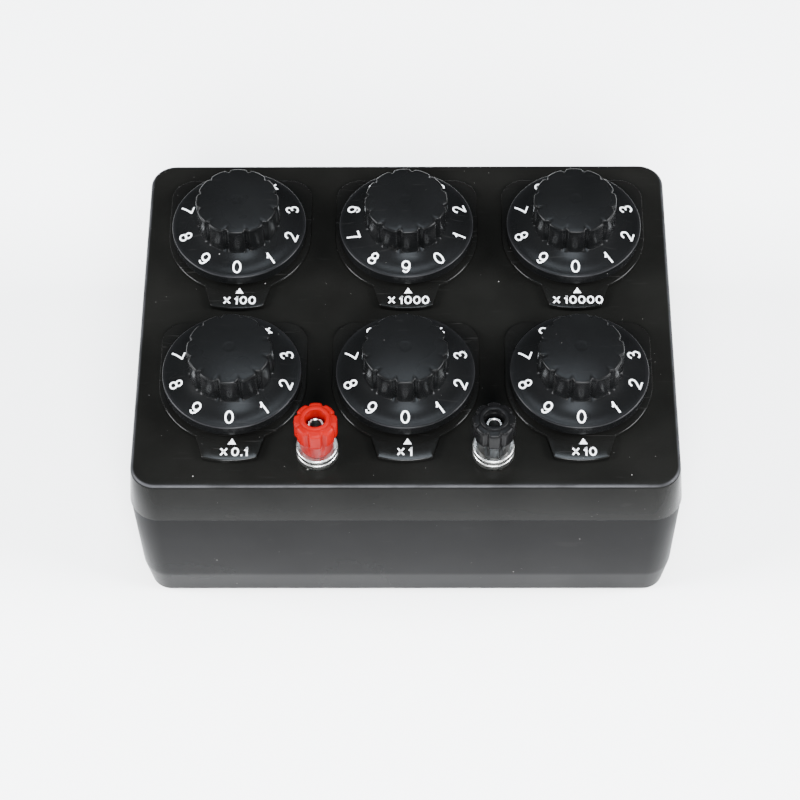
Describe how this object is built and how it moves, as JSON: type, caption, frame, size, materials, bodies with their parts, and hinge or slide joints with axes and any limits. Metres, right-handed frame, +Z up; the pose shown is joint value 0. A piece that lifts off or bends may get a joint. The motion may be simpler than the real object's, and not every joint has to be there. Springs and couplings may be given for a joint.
{
  "type": "resistance decade box",
  "caption": "Bench resistance decade box: drafted case with a flanged lid, numbered scalloped dials on pointer plates, and screw-cap binding posts at the front.",
  "frame": {"origin": "centre of the bounding box in plan, on the surface that the feet stand on", "axes": "+X to the right along the front, +Y to the back, +Z up; the binding posts are at the front"},
  "size_m": [0.2036, 0.1542, 0.1002],
  "materials": {
    "cover_plastic": "moulded, glossy, near black",
    "case_plastic": "moulded, glossy, near black",
    "plate_plastic": "moulded, glossy, near black",
    "knob_plastic": "moulded, glossy skirt and satin crown top",
    "legend_white": "printed white numbers and pointers",
    "foot_rubber": "matt black rubber",
    "plated_steel": "zinc-plated steel",
    "spring_steel": "tempered strip",
    "wheel_plastic": "natural acetal",
    "brass": "turned brass",
    "contact_brass": "stamped and polished brass",
    "laminate": "paper laminate",
    "resistor_card": "insulating card wound with resistance wire, varnished",
    "tinned_strap": "tinned copper strip",
    "post_chrome": "bright plated brass",
    "red_cap_plastic": "moulded red",
    "black_cap_plastic": "moulded black"
  },
  "bodies": {
    "case": {"top_cover": "cover_plastic", "bottom_case": "case_plastic", "case_screws": "plated_steel", "rubber_feet": "foot_rubber", "pointer_plates": "plate_plastic", "bushings": "brass", "bushing_washers": "plated_steel", "bushing_nuts": "plated_steel", "detent_plates": "plated_steel", "detent_springs": "spring_steel", "contact_decks": "laminate", "deck_pillars": "brass", "contact_lugs": "contact_brass", "common_rings": "contact_brass", "link_straps": "tinned_strap", "post_nuts": "plated_steel", "solder_tags": "tinned_strap", "resistor_cards_x0_1": "resistor_card", "resistor_cards_x1": "resistor_card", "resistor_cards_x10": "resistor_card", "resistor_cards_x100": "resistor_card", "resistor_cards_x1000": "resistor_card", "resistor_cards_x10000": "resistor_card", "red_post_stem": "post_chrome", "black_post_stem": "post_chrome"},
    "dial_x0_1": {"knob_x0_1": "knob_plastic", "knob_screw_x0_1": "plated_steel", "shaft_x0_1": "plated_steel", "detent_wheel_x0_1": "wheel_plastic", "wiper_x0_1": "contact_brass"},
    "dial_x1": {"knob_x1": "knob_plastic", "knob_screw_x1": "plated_steel", "shaft_x1": "plated_steel", "detent_wheel_x1": "wheel_plastic", "wiper_x1": "contact_brass"},
    "dial_x10": {"knob_x10": "knob_plastic", "knob_screw_x10": "plated_steel", "shaft_x10": "plated_steel", "detent_wheel_x10": "wheel_plastic", "wiper_x10": "contact_brass"},
    "dial_x100": {"knob_x100": "knob_plastic", "knob_screw_x100": "plated_steel", "shaft_x100": "plated_steel", "detent_wheel_x100": "wheel_plastic", "wiper_x100": "contact_brass"},
    "dial_x1000": {"knob_x1000": "knob_plastic", "knob_screw_x1000": "plated_steel", "shaft_x1000": "plated_steel", "detent_wheel_x1000": "wheel_plastic", "wiper_x1000": "contact_brass"},
    "dial_x10000": {"knob_x10000": "knob_plastic", "knob_screw_x10000": "plated_steel", "shaft_x10000": "plated_steel", "detent_wheel_x10000": "wheel_plastic", "wiper_x10000": "contact_brass"},
    "red_clamp": {"red_clamp_ring": "post_chrome"},
    "red_cap": {"red_post_cap": "red_cap_plastic"},
    "black_clamp": {"black_clamp_ring": "post_chrome"},
    "black_cap": {"black_post_cap": "black_cap_plastic"}
  },
  "joints": [
    {"name": "turn_x0_1", "type": "hinge", "parent": "case", "child": "dial_x0_1", "pos_m": [-0.064, -0.0301, 0.085], "axis": [0, 0, 1], "continuous": true, "deforming": ["detent_springs"]},
    {"name": "turn_x1", "type": "hinge", "parent": "case", "child": "dial_x1", "pos_m": [0, -0.0301, 0.085], "axis": [0, 0, 1], "continuous": true, "deforming": ["detent_springs"]},
    {"name": "turn_x10", "type": "hinge", "parent": "case", "child": "dial_x10", "pos_m": [0.064, -0.0301, 0.085], "axis": [0, 0, 1], "continuous": true, "deforming": ["detent_springs"]},
    {"name": "turn_x100", "type": "hinge", "parent": "case", "child": "dial_x100", "pos_m": [-0.064, 0.0387, 0.085], "axis": [0, 0, 1], "continuous": true, "deforming": ["detent_springs"]},
    {"name": "turn_x1000", "type": "hinge", "parent": "case", "child": "dial_x1000", "pos_m": [0, 0.0387, 0.085], "axis": [0, 0, 1], "continuous": true, "deforming": ["detent_springs"]},
    {"name": "turn_x10000", "type": "hinge", "parent": "case", "child": "dial_x10000", "pos_m": [0.064, 0.0387, 0.085], "axis": [0, 0, 1], "continuous": true, "deforming": ["detent_springs"]},
    {"name": "red_clamp_lift", "type": "slide", "parent": "case", "child": "red_clamp", "axis": [0, 0, 1], "range_m": [0, 0.003]},
    {"name": "red_cap_turn", "type": "hinge", "parent": "red_clamp", "child": "red_cap", "pos_m": [-0.032, -0.0607, 0.09], "axis": [0, 0, 1], "range_deg": [0, 1080]},
    {"name": "black_clamp_lift", "type": "slide", "parent": "case", "child": "black_clamp", "axis": [0, 0, 1], "range_m": [0, 0.003]},
    {"name": "black_cap_turn", "type": "hinge", "parent": "black_clamp", "child": "black_cap", "pos_m": [0.032, -0.0607, 0.09], "axis": [0, 0, 1], "range_deg": [0, 1080]}
  ],
  "couplings": [
    {"joint": "red_cap_turn", "follows": "red_clamp_lift", "rad_per_m": 6283.2},
    {"joint": "black_cap_turn", "follows": "black_clamp_lift", "rad_per_m": 6283.2}
  ]
}
